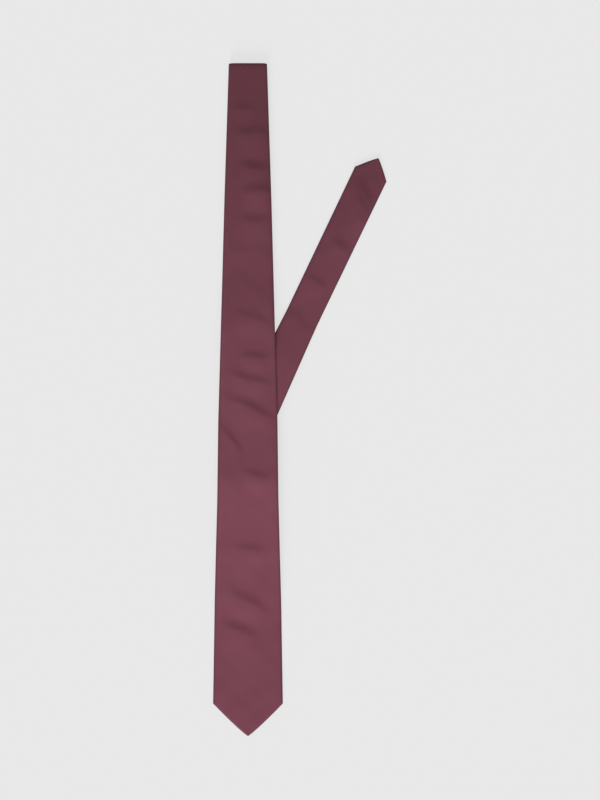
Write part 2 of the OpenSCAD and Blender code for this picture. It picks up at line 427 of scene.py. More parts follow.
def pressed(turned):
    """The painted shade round the fold itself, strongest at the outermost line."""
    return FOLD_SHADE_STRENGTH + (1 - FOLD_SHADE_STRENGTH) * float(ease(0.0, 0.7, min(turned, math.pi - turned)))


def fold_row(turned):
    def place(x, h):
        r = TURN_R + h
        return np.stack([BODY_X + x, FOLD_Y + r * math.sin(turned), BEND_R + r * math.cos(turned)], 1)
    half = BLADE_HALVES[0] + (NECK_TOP_HALF - BLADE_HALVES[0]) * turned / math.pi
    return place, half, pressed(turned)


def neck_row(drop, lean):
    def place(x, h):
        return np.stack([BODY_X + x, TOP_Y - drop - x * lean, THICK / 2 - h + 0 * x], 1)
    return place, neck_half(drop), shade_near_fold(drop - BEND_R)


LEAN_X, LEAN_Y = math.cos(LEAN), -math.sin(LEAN)
TAIL_DX, TAIL_DY = math.sin(2 * LEAN), math.cos(2 * LEAN)


def turn_row(turned):
    def place(x, h):
        r = TURN_R + h
        across, out = x / LEAN_X, r * math.sin(turned)
        return np.stack([BODY_X + LEAN_X * across + LEAN_Y * out, TURN_Y + LEAN_Y * across - LEAN_X * out,
                         BEND_R - r * math.cos(turned) + 0 * x], 1)
    return place, NECK_LOW_HALF + TURN_FLARE, pressed(turned)


def on_tail(x, along, h):
    """Points of the tail: across it, along it from its turn, and out of its middle."""
    z = tail_lift(along) + tail_relief(x, along) * front_share(h) + THICK / 2 + h
    return np.stack([BODY_X + TAIL_DY * x + TAIL_DX * along, TURN_Y - TAIL_DX * x + TAIL_DY * along, z], 1)


def tail_row(s, lean=0.0):
    def place(x, h):
        return on_tail(x, s + x * lean, h)
    return place, tail_half(s), 0.0


def steps(a, b, step):
    """Even places from a to b, about a step apart, both ends among them."""
    n = max(2, round(abs(b - a) / step) + 1)
    return list(np.linspace(a, b, n))


BLADE_SPREAD, BLADE_HEM = 0.26, 9 * MM
TAIL_SPREAD, TAIL_HEM = 0.32, 7 * MM


def blade_gap(y):
    """Half the opening between the back flaps; less than nothing where they overlap."""
    wide = -OVERLAP + max(0.0, OPENING_Y - y) * BLADE_SPREAD
    return max(min(wide, blade_half(y) - BLADE_HEM), -OVERLAP)


def tail_gap(s):
    wide = -OVERLAP + max(0.0, s - OPENING_S) * TAIL_SPREAD
    return max(min(wide, tail_half(s) - TAIL_HEM), -OVERLAP)


# ------------------------ slices of envelope and core

FLAP_N, ROLL_N = 18, 5


def slab_height(f, half_t, roll):
    """How high the cloth's face is at a share of the way to its edge: level, then down to the roll."""
    return roll + (half_t - roll) * (1 - np.clip(np.abs(f), 0, 1) ** 10)


def wrap(half, gap, half_t, inner, front_n):
    """One slice of the envelope: under flap, left edge, front, right edge, over flap.
    Where the gap is less than nothing the over flap ends on the centre line, above the other."""
    half = half - inner
    thick = half_t - inner
    roll = max(min(EDGE_R - inner, thick, half * 0.5), 0.05 * MM)
    flat = max(half - roll, 0.02 * MM)
    gap = max(min(gap, flat - 0.01 * MM), -0.35 * flat)
    end_l, end_r = -gap * (2 if gap < 0 else 1), max(gap, 0)
    angles = np.linspace(0, math.pi, ROLL_N + 2)[1:-1]
    left = np.linspace(end_l, -flat, FLAP_N)
    front = np.linspace(-flat, flat, front_n)
    right = np.linspace(flat, end_r, FLAP_N)
    # The under flap lies a cloth's thickness deeper where the other lies over it
    tuck = ease(-5 * MM, -0.8 * MM, left) * ease(2 * MM, 0.0, gap) * (CLOTH + 0.10 * MM)
    x = np.concatenate([left, -flat - roll * np.sin(angles), front, flat + roll * np.sin(angles), right])
    under = slab_height(left / flat, thick, roll) - tuck
    over = slab_height(right / flat, thick, roll)
    h = np.concatenate([-under, -roll * np.cos(angles), slab_height(front / flat, thick, roll),
                        roll * np.cos(angles), -over])
    return x, h


def slab(half, thick, columns):
    """One slice of a flat core: round the front, back again underneath."""
    f = np.linspace(-1, 1, columns)
    x = np.concatenate([f * half, f[::-1] * half])
    rise = thick / 2 * (1 - 0.5 * np.abs(f) ** 8)
    return x, np.concatenate([rise, -rise[::-1]])


def put(name, data):
    """A new object in the scene."""
    obj = bpy.data.objects.new(name, data)
    bpy.context.scene.collection.objects.link(obj)
    return obj


def new_object(name, verts, faces, uvs, edge=None):
    """A smooth mesh with its cloth coordinates, and how near an edge or fold each point lies, which sets the painted
    shade there.
    """
    mesh = bpy.data.meshes.new(name)
    mesh.from_pydata([tuple(v) for v in verts], [], faces)
    layer = mesh.uv_layers.new(name="cloth")
    index = np.empty(len(mesh.loops), dtype=np.int32)
    mesh.loops.foreach_get("vertex_index", index)
    layer.data.foreach_set("uv", np.asarray(uvs, np.float32)[index].ravel())
    if edge is not None:
        near = mesh.attributes.new("near_edge", "FLOAT", "POINT")
        near.data.foreach_set("value", np.asarray(edge, np.float32))
    mesh.polygons.foreach_set("use_smooth", [True] * len(mesh.polygons))
    return put(name, mesh)


def envelope(name, rows, gaps, front_n, thick=THICK, cloth=CLOTH):
    """The wrapped cloth through the given rows, as one closed skin of cloth thickness."""
    outer, inner, uv, near, walk = [], [], [], [], 0.0
    last = None
    area = 0.0
    for (place, half, fold_shade_share), gap in zip(rows, gaps):
        x, h = wrap(half, gap, thick / 2, 0.0, front_n)
        xi, hi = wrap(half, gap, thick / 2, cloth, front_n)
        pts = place(x, h)
        across = np.concatenate([[0], np.cumsum(np.hypot(np.diff(x), np.diff(h)))])
        across -= across[len(across) // 2]
        if last is not None:
            walk += np.linalg.norm(pts[len(x) // 2] - last[0])
            area += np.linalg.norm(pts[len(x) // 2] - last[0]) * (across[-1] - across[0] + last[1]) / 2
        last = (pts[len(x) // 2], across[-1] - across[0])
        outer.append(pts)
        inner.append(place(xi, hi))
        uv.append(np.stack([across, np.full_like(across, walk)], 1))
        # Painted shade: darker where the cloth rolls round its edges, and near a fold
        near.append(np.maximum(np.exp(-((half - np.abs(x)) / (1.5 * MM)) ** 2), fold_shade_share))
    n, m = len(outer[0]), len(rows)
    verts = np.concatenate([np.concatenate(outer), np.concatenate(inner)])
    uvs = np.concatenate([np.concatenate(uv)] * 2)
    edge = np.concatenate([np.concatenate(near), np.zeros(n * m)])
    faces = []
    skin = n * m
    for i in range(m - 1):
        for j in range(n - 1):
            a, b, c, d = i * n + j, i * n + j + 1, (i + 1) * n + j + 1, (i + 1) * n + j
            faces += [(a, b, c, d), (skin + d, skin + c, skin + b, skin + a)]
        for j, flip in ((0, False), (n - 1, True)):
            rim = (i * n + j, (i + 1) * n + j, skin + (i + 1) * n + j, skin + i * n + j)
            faces.append(rim[::-1] if flip else rim)
    for i, flip in ((0, True), (m - 1, False)):
        for j in range(n - 1):
            rim = (i * n + j, i * n + j + 1, skin + i * n + j + 1, skin + i * n + j)
            faces.append(rim[::-1] if flip else rim)
    obj = new_object(name, verts, faces, uvs, edge)
    turn_outwards(obj)
    width = max(u[-1, 0] - u[0, 0] for u in uv)
    return obj, (width, walk), area


def core(name, rows, trim, thick, columns=24, depth=0.0):
    """A flat closed slab of cloth through the rows, depth out of their middle."""
    loops, uv, walk, last = [], [], 0.0, None
    for place, half, _ in rows:
        x, h = slab(max(half - trim, 0.3 * MM), thick, columns)
        pts = place(x, h + depth)
        if last is not None:
            walk += np.linalg.norm(pts.mean(0) - last)
        last = pts.mean(0)
        loops.append(pts)
        uv.append(np.stack([x, np.full_like(x, walk)], 1))
    n, m = len(loops[0]), len(rows)
    faces = [(i * n + j, i * n + (j + 1) % n, (i + 1) * n + (j + 1) % n, (i + 1) * n + j)
             for i in range(m - 1) for j in range(n)]
    half_n = n // 2
    for i in (0, m - 1):
        for j in range(half_n - 1):
            faces.append((i * n + j, i * n + j + 1, i * n + n - 2 - j, i * n + n - 1 - j))
    obj = new_object(name, np.concatenate(loops), faces, np.concatenate(uv))
    turn_outwards(obj)
    width = max(u[:, 0].max() - u[:, 0].min() for u in uv)
    area = sum((u[:, 0].max() - u[:, 0].min()) for u in uv) / m * walk
    return obj, (width, walk), min(area, width * walk)


CRISP_ANGLE = math.radians(62)


def turn_outwards(obj):
    """Makes every face of a closed mesh point out, and its cut edges crisp."""
    work = bmesh.new()
    work.from_mesh(obj.data)
    bmesh.ops.remove_doubles(work, verts=work.verts, dist=0.002 * MM)
    bmesh.ops.recalc_face_normals(work, faces=work.faces)
    work.to_mesh(obj.data)
    work.free()
    obj.data.set_sharp_from_angle(angle=CRISP_ANGLE)
    obj.data.update()


# ------------------------ node groups


def group(name, inputs, outputs, kind="ShaderNodeTree"):
    """An empty node group with named sockets."""
    tree = bpy.data.node_groups.new(name, kind)
    for label, socket_type, value in inputs:
        socket = tree.interface.new_socket(name=label, in_out="INPUT", socket_type=socket_type)
        if value is not None:
            socket.default_value = value
    for label, socket_type in outputs:
        tree.interface.new_socket(name=label, in_out="OUTPUT", socket_type=socket_type)
    given, wanted = tree.nodes.new("NodeGroupInput"), tree.nodes.new("NodeGroupOutput")
    return tree, given.outputs, wanted.inputs


def plug(tree, inputs, sockets):
    """Gives each input a value, or links it to another node's output."""
    for label, value in sockets.items():
        if isinstance(value, bpy.types.NodeSocket):
            tree.links.new(value, inputs[label])
        else:
            inputs[label].default_value = value


def add(tree, kind, sockets=None, **settings):
    """A new node with its settings and inputs."""
    node = tree.nodes.new(kind)
    for key, value in settings.items():
        setattr(node, key, value)
    plug(tree, node.inputs, sockets or {})
    return node


def math_node(tree, kind, *values):
    return add(tree, "ShaderNodeMath", dict(enumerate(values)), operation=kind).outputs[0]


def mix_colour(tree, factor, a, b, kind="MIX"):
    return add(tree, "ShaderNodeMix", {0: factor, 6: a, 7: b}, data_type="RGBA", blend_type=kind).outputs[2]


def noise_node(tree, vector, scale, detail=3.0, rough=0.5):
    return add(tree, "ShaderNodeTexNoise", {"Vector": vector, "Scale": scale, "Detail": detail,
                                            "Roughness": rough}).outputs["Fac"]


# How fine each noise is, and how high the ribs and the single threads stand
WAVER_SCALE, FLECK_SCALE, BREAK_SCALE = 900.0, 2600.0, 420.0
RIB_RISE, THREAD_RISE = 0.34, 0.12


def make_twill():
    """Slanted ribs of a twill cut on the bias, with the single threads crossing them."""
    tree, given, wanted = group(
        "twill_weave",
        [("Cloth", "NodeSocketVector", None), ("Rib pitch", "NodeSocketFloat", 0.0006),
         ("Slant", "NodeSocketFloat", 0.785), ("Unevenness", "NodeSocketFloat", 0.3)],
        [("Height", "NodeSocketFloat"), ("Rib shade", "NodeSocketFloat")])
    u, v = add(tree, "ShaderNodeSeparateXYZ", {0: given["Cloth"]}).outputs[:2]
    cos_s = math_node(tree, "COSINE", given["Slant"])
    sin_s = math_node(tree, "SINE", given["Slant"])
    along = math_node(tree, "ADD", math_node(tree, "MULTIPLY", u, cos_s),
                      math_node(tree, "MULTIPLY", v, sin_s))
    aside = math_node(tree, "SUBTRACT", math_node(tree, "MULTIPLY", v, cos_s),
                      math_node(tree, "MULTIPLY", u, sin_s))
    waver = noise_node(tree, given["Cloth"], WAVER_SCALE, 2.0)
    bend = math_node(tree, "MULTIPLY", math_node(tree, "SUBTRACT", waver, 0.5), given["Unevenness"])
    rib_turn = math_node(tree, "ADD", math_node(tree, "DIVIDE", along, given["Rib pitch"]), bend)
    rib = math_node(tree, "SINE", math_node(tree, "MULTIPLY", rib_turn, 2 * math.pi))
    crossing = math_node(tree, "ADD", aside, math_node(tree, "MULTIPLY", along, 0.5))
    thread_turn = math_node(tree, "DIVIDE", crossing, given["Rib pitch"])
    thread = math_node(tree, "SINE", math_node(tree, "MULTIPLY", thread_turn, 2.4 * math.pi))
    both = math_node(tree, "ADD", math_node(tree, "MULTIPLY", rib, RIB_RISE),
                     math_node(tree, "MULTIPLY", thread, THREAD_RISE))
    plug(tree, wanted, {"Height": math_node(tree, "ADD", both, 0.5),
                        "Rib shade": math_node(tree, "MULTIPLY_ADD", rib, 0.5, 0.5)})
    return tree


def make_mottle():
    """Soft patches where the cloth looks redder or greyer."""
    tree, given, wanted = group(
        "cloth_mottle",
        [("Place", "NodeSocketVector", None), ("Patch scale", "NodeSocketFloat", 30.0),
         ("Strength", "NodeSocketFloat", 1.0)],
        [("Patch", "NodeSocketFloat"), ("Fleck", "NodeSocketFloat")])
    broad = noise_node(tree, given["Place"], given["Patch scale"], 3.0, 0.55)
    patch = math_node(tree, "MULTIPLY", math_node(tree, "SUBTRACT", broad, 0.5), given["Strength"])
    fleck = noise_node(tree, given["Place"], FLECK_SCALE, 2.0, 0.6)
    plug(tree, wanted, {"Patch": math_node(tree, "ADD", patch, 0.5), "Fleck": fleck})
    return tree


def make_edge_shade_and_wear():
    """Pressed edges and fold: darker with painted shade, with a rubbed, broken line of wear along the very fold."""
    tree, given, wanted = group(
        "edge_wear",
        [("Near edge", "NodeSocketFloat", 0.0), ("Place", "NodeSocketVector", None),
         ("Break up", "NodeSocketFloat", 0.6)],
        [("Shade", "NodeSocketFloat"), ("Rub", "NodeSocketFloat")])
    broken = noise_node(tree, given["Place"], BREAK_SCALE, 4.0, 0.6)
    shade = math_node(tree, "MULTIPLY", given["Near edge"],
                      math_node(tree, "MULTIPLY_ADD", broken, given["Break up"], 0.6))
    rub = math_node(tree, "MULTIPLY", math_node(tree, "POWER", given["Near edge"], 6.0),
                    math_node(tree, "GREATER_THAN", broken, 0.56))
    plug(tree, wanted, {"Shade": shade, "Rub": rub})
    return tree


def make_painted_shade_ramp():
    """How far a point lies from where the painted shade starts to where it is full."""
    tree, given, wanted = group(
        "length_fade",
        [("Place", "NodeSocketVector", None), ("Faded at", "NodeSocketFloat", 0.0),
         ("Deep at", "NodeSocketFloat", 1.0)],
        [("Deep", "NodeSocketFloat")])
    split = add(tree, "ShaderNodeSeparateXYZ", {0: given["Place"]})
    ramp = add(tree, "ShaderNodeMapRange", {"Value": split.outputs[1], "From Min": given["Faded at"],
                                            "From Max": given["Deep at"]}, interpolation_type="SMOOTHSTEP")
    plug(tree, wanted, {"Deep": ramp.outputs[0]})
    return tree


TWILL, MOTTLE, EDGE_SHADE_AND_WEAR, PAINTED_SHADE_RAMP = make_twill(), make_mottle(), make_edge_shade_and_wear(), make_painted_shade_ramp()


def place_group(tree, source, sockets):
    return add(tree, "ShaderNodeGroup", sockets, node_tree=source).outputs


def blank_material(name):
    """A new material, with its tree and its shader."""
    material = bpy.data.materials.new(name)
    material.use_nodes = True
    tree = material.node_tree
    return material, tree, tree.nodes["Principled BSDF"]


# How much each effect shows in a cloth's colour
RIB_SHOWS, FLECK_SHOWS, SHADE_SHOWS, RUB_SHOWS = 0.55, 0.22, 0.75, 0.35


def woven(name, deep, light, grey, pitch, slant, bump, rough=(0.62, 0.72), sheen=0.25,
          tint=(0.8, 0.5, 0.55, 1), fades=()):
    """A woven cloth: rib colour, patches, painted shade and a rubbed line of wear at its edges, painted shade along
    its length where given, and the ribs as bump.
    """
    material, tree, shader = blank_material(name)
    cloth = add(tree, "ShaderNodeUVMap", uv_map="cloth").outputs[0]
    where = tree.nodes.new("ShaderNodeTexCoord").outputs["Object"]
    near = add(tree, "ShaderNodeAttribute", attribute_name="near_edge").outputs["Fac"]
    twill = place_group(tree, TWILL, {"Cloth": cloth, "Rib pitch": pitch, "Slant": slant,
                                      "Unevenness": 0.35})
    mottle = place_group(tree, MOTTLE, {"Place": where, "Patch scale": 34.0, "Strength": 1.3})
    shade_and_wear = place_group(tree, EDGE_SHADE_AND_WEAR, {"Near edge": near, "Place": where, "Break up": 0.5})
    colour = mix_colour(tree, mottle["Patch"], deep, grey)
    colour = mix_colour(tree, math_node(tree, "MULTIPLY", twill["Rib shade"], RIB_SHOWS), colour, light)
    colour = mix_colour(tree, math_node(tree, "MULTIPLY", mottle["Fleck"], FLECK_SHOWS), colour, deep)
    # Painted shade and painted sheen along the length: darker towards the fold and the point, lighter between
    for unshaded_y, shaded_y, deeper in fades:
        shade_ramp = place_group(tree, PAINTED_SHADE_RAMP, {"Place": where, "Faded at": unshaded_y, "Deep at": shaded_y})
        colour = mix_colour(tree, shade_ramp["Deep"], colour, deeper, "MULTIPLY")
    # Painted shade at the edges and the fold: the colour is darkened towards this
    edge_shade_colour = tuple(c * 0.45 for c in grey[:3]) + (1.0,)
    colour = mix_colour(tree, math_node(tree, "MULTIPLY", shade_and_wear["Shade"], SHADE_SHOWS), colour, edge_shade_colour)
    colour = mix_colour(tree, math_node(tree, "MULTIPLY", shade_and_wear["Rub"], RUB_SHOWS), colour, light)
    gloss = math_node(tree, "MULTIPLY_ADD", twill["Rib shade"], rough[0] - rough[1], rough[1])
    ridge = add(tree, "ShaderNodeBump", {"Strength": bump, "Distance": 0.1 * MM, "Height": twill["Height"]})
    plug(tree, shader.inputs, {"Base Color": colour, "Roughness": gloss, "Normal": ridge.outputs[0],
                               "Sheen Weight": sheen, "Sheen Roughness": 0.45, "Sheen Tint": tint,
                               "Specular IOR Level": 0.18})
    return material


# Painted shade along the silk: where each darkening starts, where it is full, and how much darker: up to the fold,
# past the turn, and down to the point, with a lighter band of painted sheen left between the last two
SILK_PAINTED_SHADE = [(-0.05, 0.40, (0.65, 0.62, 0.60, 1)), (-0.100, -0.078, (0.86, 0.88, 0.86, 1)),
              (-0.150, -0.195, (0.92, 0.90, 0.91, 1))]
SILK = woven("wine_silk_twill", (0.185, 0.044, 0.072, 1), (0.245, 0.076, 0.112, 1),
             (0.168, 0.050, 0.073, 1), pitch=0.62 * MM, slant=math.radians(45), bump=0.3,
             sheen=0.15, fades=SILK_PAINTED_SHADE)
WOOL = woven("core_wool", (0.50, 0.45, 0.36, 1), (0.68, 0.63, 0.52, 1), (0.58, 0.54, 0.46, 1),
             pitch=1.1 * MM, slant=math.radians(90), bump=0.9, rough=(0.85, 0.95), sheen=0.4,
             tint=(1, 0.95, 0.85, 1))
LINING = woven("tipping_satin", (0.085, 0.020, 0.030, 1), (0.150, 0.045, 0.060, 1),
               (0.095, 0.030, 0.038, 1), pitch=0.30 * MM, slant=math.radians(80), bump=0.2,
               rough=(0.30, 0.42), sheen=0.15)
RIBBON = woven("label_ribbon", (0.55, 0.49, 0.38, 1), (0.72, 0.67, 0.56, 1), (0.60, 0.55, 0.46, 1),
               pitch=0.35 * MM, slant=math.radians(88), bump=0.3, rough=(0.35, 0.5), sheen=0.1,
               tint=(1, 0.95, 0.85, 1))
TAG = woven("care_ribbon", (0.70, 0.69, 0.65, 1), (0.80, 0.79, 0.76, 1), (0.74, 0.74, 0.71, 1),
            pitch=0.35 * MM, slant=math.radians(88), bump=0.3, rough=(0.4, 0.55), sheen=0.1,
            tint=(1, 1, 1, 1))


def thread_material(name, deep, light):
    """Sewing thread: uneven colour and a little fuzz."""
    material, tree, shader = blank_material(name)
    where = tree.nodes.new("ShaderNodeTexCoord").outputs["Object"]
    mottle = place_group(tree, MOTTLE, {"Place": where, "Patch scale": 900.0, "Strength": 1.4})
    colour = mix_colour(tree, mottle["Patch"], deep, light)
    gloss = math_node(tree, "MULTIPLY_ADD", mottle["Fleck"], 0.2, 0.45)
    twist = add(tree, "ShaderNodeBump", {"Strength": 0.4, "Distance": 0.05 * MM, "Height": mottle["Fleck"]})
    plug(tree, shader.inputs, {"Base Color": colour, "Roughness": gloss, "Normal": twist.outputs[0],
                               "Sheen Weight": 0.3})
    return material


THREAD = thread_material("wine_thread", (0.075, 0.018, 0.028, 1), (0.16, 0.045, 0.06, 1))
LABEL_THREAD = thread_material("cream_thread", (0.50, 0.44, 0.33, 1), (0.66, 0.60, 0.48, 1))

# ------------------------ needlework


def make_stitcher():
    """Geometry Nodes: one short arched stitch at every step along a guide line."""
    tree, given, wanted = group(
        "lay_stitches",
        [("Guide", "NodeSocketGeometry", None), ("Spacing", "NodeSocketFloat", 0.005),
         ("Length", "NodeSocketFloat", 0.002), ("Thread radius", "NodeSocketFloat", 0.0001),
         ("Lift", "NodeSocketFloat", 0.0002), ("Turn", "NodeSocketFloat", 0.0),
         ("Uneven", "NodeSocketFloat", 0.1), ("Seed", "NodeSocketInt", 3),
         ("Thread", "NodeSocketMaterial", None)],
        [("Stitches", "NodeSocketGeometry")], "GeometryNodeTree")
    line = add(tree, "GeometryNodeMeshToCurve", {"Mesh": given["Guide"]}).outputs[0]
    steps_along = add(tree, "GeometryNodeResampleCurve", {"Curve": line, "Length": given["Spacing"]},
                      mode="LENGTH").outputs[0]
    along = add(tree, "GeometryNodeInputTangent").outputs[0]
    out = add(tree, "GeometryNodeInputNamedAttribute", {"Name": "outwards"},
              data_type="FLOAT_VECTOR").outputs["Attribute"]
    least = math_node(tree, "SUBTRACT", given["Turn"], given["Uneven"])
    most = math_node(tree, "ADD", given["Turn"], given["Uneven"])
    turn = add(tree, "FunctionNodeRandomValue", {2: least, 3: most, "Seed": given["Seed"]},
               data_type="FLOAT").outputs[1]
    on_line = add(tree, "FunctionNodeAlignRotationToVector", {"Vector": along}, axis="X").outputs[0]
    upright = add(tree, "FunctionNodeAlignRotationToVector", {"Rotation": on_line, "Vector": out},
                  axis="Z", pivot_axis="X").outputs[0]
    twist = add(tree, "ShaderNodeCombineXYZ", {2: turn}).outputs[0]
    twist = add(tree, "FunctionNodeEulerToRotation", {0: twist}).outputs[0]
    turned = add(tree, "FunctionNodeRotateRotation", {"Rotation": upright, "Rotate By": twist},
                 rotation_space="LOCAL").outputs[0]
    half = math_node(tree, "MULTIPLY", given["Length"], 0.5)
    start = add(tree, "ShaderNodeCombineXYZ", {0: math_node(tree, "MULTIPLY", half, -1.0)}).outputs[0]
    end = add(tree, "ShaderNodeCombineXYZ", {0: half}).outputs[0]
    top = add(tree, "ShaderNodeCombineXYZ", {2: math_node(tree, "MULTIPLY", given["Lift"], 2.0)}).outputs[0]
    arch = add(tree, "GeometryNodeCurveQuadraticBezier",
               {"Resolution": 6, "Start": start, "Middle": top, "End": end}).outputs[0]
    ring = add(tree, "GeometryNodeCurvePrimitiveCircle",
               {"Resolution": 6, "Radius": given["Thread radius"]}).outputs[0]
    stitch = add(tree, "GeometryNodeCurveToMesh",
                 {"Curve": arch, "Profile Curve": ring, "Fill Caps": True}).outputs[0]
    laid = add(tree, "GeometryNodeInstanceOnPoints",
               {"Points": steps_along, "Instance": stitch, "Rotation": turned}).outputs[0]
    real = add(tree, "GeometryNodeRealizeInstances", {0: laid}).outputs[0]
    dyed = add(tree, "GeometryNodeSetMaterial", {"Geometry": real, "Material": given["Thread"]}).outputs[0]
    plug(tree, wanted, {"Stitches": dyed})
    return tree


def make_thread_layer():
    """Geometry Nodes: one unbroken thread along a guide line."""
    tree, given, wanted = group(
        "lay_thread",
        [("Guide", "NodeSocketGeometry", None), ("Spacing", "NodeSocketFloat", 0.0005),
         ("Thread radius", "NodeSocketFloat", 0.0001), ("Thread", "NodeSocketMaterial", None)],
        [("Laid thread", "NodeSocketGeometry")], "GeometryNodeTree")
    line = add(tree, "GeometryNodeMeshToCurve", {"Mesh": given["Guide"]}).outputs[0]
    even = add(tree, "GeometryNodeResampleCurve", {"Curve": line, "Length": given["Spacing"]},
               mode="LENGTH").outputs[0]
    ring = add(tree, "GeometryNodeCurvePrimitiveCircle",
               {"Resolution": 10, "Radius": given["Thread radius"]}).outputs[0]
    body = add(tree, "GeometryNodeCurveToMesh",
               {"Curve": even, "Profile Curve": ring, "Fill Caps": True}).outputs[0]
    real = add(tree, "GeometryNodeRealizeInstances", {0: body}).outputs[0]
    dyed = add(tree, "GeometryNodeSetMaterial", {"Geometry": real, "Material": given["Thread"]}).outputs[0]
    plug(tree, wanted, {"Laid thread": dyed})
    return tree


STITCHER, THREAD_LAYER = make_stitcher(), make_thread_layer()


def needlework(name, guides, tree, values):
    """Runs a needlework tree on guide lines, lists of (point, outward) pairs, and keeps a plain mesh."""
    verts, outs, edges = [], [], []
    for guide in guides:
        first = len(verts)
        verts += [tuple(point) for point, _ in guide]
        outs += [tuple(out) for _, out in guide]
        edges += [(first + i, first + i + 1) for i in range(len(guide) - 1)]
    mesh = bpy.data.meshes.new(name + "_guide")
    mesh.from_pydata(verts, edges, [])
    outwards = mesh.attributes.new("outwards", "FLOAT_VECTOR", "POINT")
    outwards.data.foreach_set("vector", np.asarray(outs, np.float32).ravel())
    guide_obj = put(name + "_guide", mesh)
    modifier = guide_obj.modifiers.new("needlework", "NODES")
    modifier.node_group = tree
    for item in tree.interface.items_tree:
        if item.in_out == "INPUT" and item.name in values:
            modifier[item.identifier] = values[item.name]
    done = guide_obj.evaluated_get(bpy.context.evaluated_depsgraph_get())
    result = bpy.data.meshes.new_from_object(done)
    result.name = name
    bpy.data.objects.remove(guide_obj)
    obj = put(name, result)
    result.polygons.foreach_set("use_smooth", [True] * len(result.polygons))
    turn_outwards(obj)
    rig.slot(obj, "thread")
    return obj


def stitches(name, guides, spacing, length, radius=0.11 * MM, lift=0.12 * MM, turn=90.0, seed=3,
             uneven=0.12, thread=THREAD):
    return needlework(name, guides, STITCHER, {
        "Spacing": spacing, "Length": length, "Thread radius": radius, "Lift": lift,
        "Turn": math.radians(turn), "Uneven": uneven, "Seed": seed, "Thread": thread})


def dress(obj, material, slot_name):
    obj.data.materials.clear()
    obj.data.materials.append(material)
    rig.slot(obj, slot_name)


# ------------------------ rows of each piece

BLADE_STEP = 2.0 * MM
lower_ys = steps(POINT_Y + 0.3 * MM, POINT_Y + BLADE_POINT_H, 1.4 * MM)[:-1] + \
    steps(POINT_Y + BLADE_POINT_H, BLADE_CUT_Y, BLADE_STEP)
blade_rows = [blade_row(y) for y in lower_ys]
blade_gaps = [blade_gap(y) for y in lower_ys]

# Closest together where the layers part as a fold opens
bend_turns = [math.pi / 2 * (1 + math.copysign(abs(u) ** 2.2, u)) for u in steps(-1, 1, 1 / 18)[1:-1]]
fold_ys = steps(BLADE_CUT_Y, FOLD_Y, BLADE_STEP)
behind = steps(BEND_R, BLADE_SEAM_DROP, BLADE_STEP)
fold_rows = [blade_row(y) for y in fold_ys] + [fold_row(t) for t in bend_turns] + \
    [neck_row(d, SEAM_LEAN * float(ease(0.012, BLADE_SEAM_DROP, d))) for d in behind]

neck_rows = [neck_row(d, SEAM_LEAN) for d in steps(BLADE_SEAM_DROP + SEAM_GAP, TAIL_SEAM_DROP, 3 * MM)]

TURN_LEAN = math.tan(LEAN)
start_drops = steps(TAIL_SEAM_DROP + SEAM_GAP, TURN_DROP, BLADE_STEP)
near_turn = TURN_DROP - 2 * MM
start_rows = [neck_row(d, SEAM_LEAN + (TURN_LEAN - SEAM_LEAN) * float(ease(TAIL_SEAM_DROP, near_turn, d)))
              for d in start_drops]
turn_ss = steps(0, TAIL_CUT_S, BLADE_STEP)
turn_rows = start_rows + [turn_row(t) for t in bend_turns] + \
    [tail_row(s, TURN_LEAN * float(ease(TAIL_CUT_S, 0.002, s))) for s in turn_ss]

tail_ss = steps(TAIL_CUT_S, TAIL_LENGTH - TAIL_POINT_H, BLADE_STEP) + \
    steps(TAIL_LENGTH - TAIL_POINT_H, TAIL_LENGTH - 0.3 * MM, 1.2 * MM)[1:]
tail_rows = [tail_row(s) for s in tail_ss]
tail_gaps = [tail_gap(s) for s in tail_ss]


def closed(rows):
    """Gaps for a length whose back seam is sewn shut."""
    return [-OVERLAP] * len(rows)


FOLD_BLEND = dict(start=(0, 0, PITCH - 0.01 * MM), end=(0, 0, THICK + 0.01 * MM))
BEND_REACH = 20 * MM


def bend_ends(joint, dx, dy):
    x, y, z = JOINTS[joint]["pos_m"]
    return dict(start=(x - dx * BEND_REACH, y - dy * BEND_REACH, z),
                end=(x + dx * BEND_REACH, y + dy * BEND_REACH, z))


BLADE_FLEX = ("blade_upper", "blade_lower", bend_ends("blade_bend", 0, -1))
TAIL_FLEX = ("tail_inner", "tail_outer", bend_ends("tail_bend", TAIL_DX, TAIL_DY))
# Given from the part that swings, so a fold laid right open rolls over and not under
TOP_FOLD = ("blade_upper", "neck_strip", FOLD_BLEND)
TAIL_TURN = ("tail_inner", "neck_strip", FOLD_BLEND)


def join(obj, bodies):
    """Rides on one body, or bends between two."""
    if isinstance(bodies, str):
        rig.ride(obj, bodies)
    else:
        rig.blend(obj, bodies[0], bodies[1], **bodies[2])


def sew(obj, bodies, nodes=()):
    """Joins a piece to its bodies, where it takes the place of the CAD nodes it stands for."""
    join(obj, bodies)
    if nodes:
        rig.replaces(obj, *nodes)


def sew_envelope(name, rows, gaps, front_n, bodies, nodes):
    """A length of the silk, with so many points across its front."""
    obj, flat, area = envelope(name, rows, gaps, front_n)
    dress(obj, SILK, "silk")
    sew(obj, bodies, nodes)
    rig.sheet(obj, flat=flat, held="folded", area=min(area, flat[0] * flat[1]))


CORE_TRIM = 2.2 * MM
CORE_THICK = THICK - 2 * CLOTH - 0.5 * MM
# How many rows the wool stops short of each point
BLADE_CORE_SHORT, TAIL_CORE_SHORT = 8, 6


def sew_core(name, rows, bodies, nodes):
    """A length of the wool inside it, cut a little narrower."""
    obj, flat, area = core(name, rows, CORE_TRIM, CORE_THICK)
    dress(obj, WOOL, "interlining")
    sew(obj, bodies, nodes)
    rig.sheet(obj, flat=flat, held="folded", area=area)


